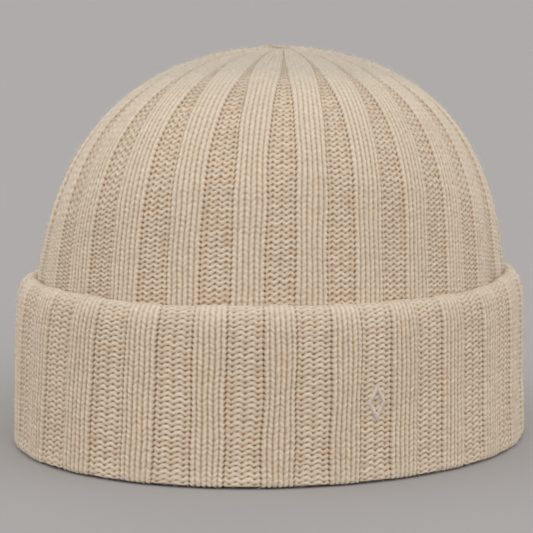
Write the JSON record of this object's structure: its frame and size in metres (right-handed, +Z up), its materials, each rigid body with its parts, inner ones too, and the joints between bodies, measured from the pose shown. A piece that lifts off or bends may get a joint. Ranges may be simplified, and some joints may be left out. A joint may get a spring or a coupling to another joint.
{
  "type": "ribbed knitted beanie with a turned-up cuff",
  "caption": "Soft ribbed beanie in cream cashmere: an oval dome gathered at its tip, with a deep folded cuff that it stands on. Open below for the head.",
  "frame": {"origin": "middle of the oval fold that the hat stands on, at the surface it rests on", "axes": "+Z up to the crown, -Y to the wearer's front and +X to the wearer's left; the oval's long way lies along Y, and the tip lies behind the middle"},
  "size_m": [0.1826, 0.2234, 0.1478],
  "materials": {
    "yarn": "soft matt cream cashmere yarn, knitted, with a fine halo of fibre",
    "thread": "pale pinkish cream embroidery thread with a slight sheen"
  },
  "bodies": {
    "root": {"crown": "yarn", "cuff": "yarn", "stitched_motif": "thread"}
  },
  "joints": []
}
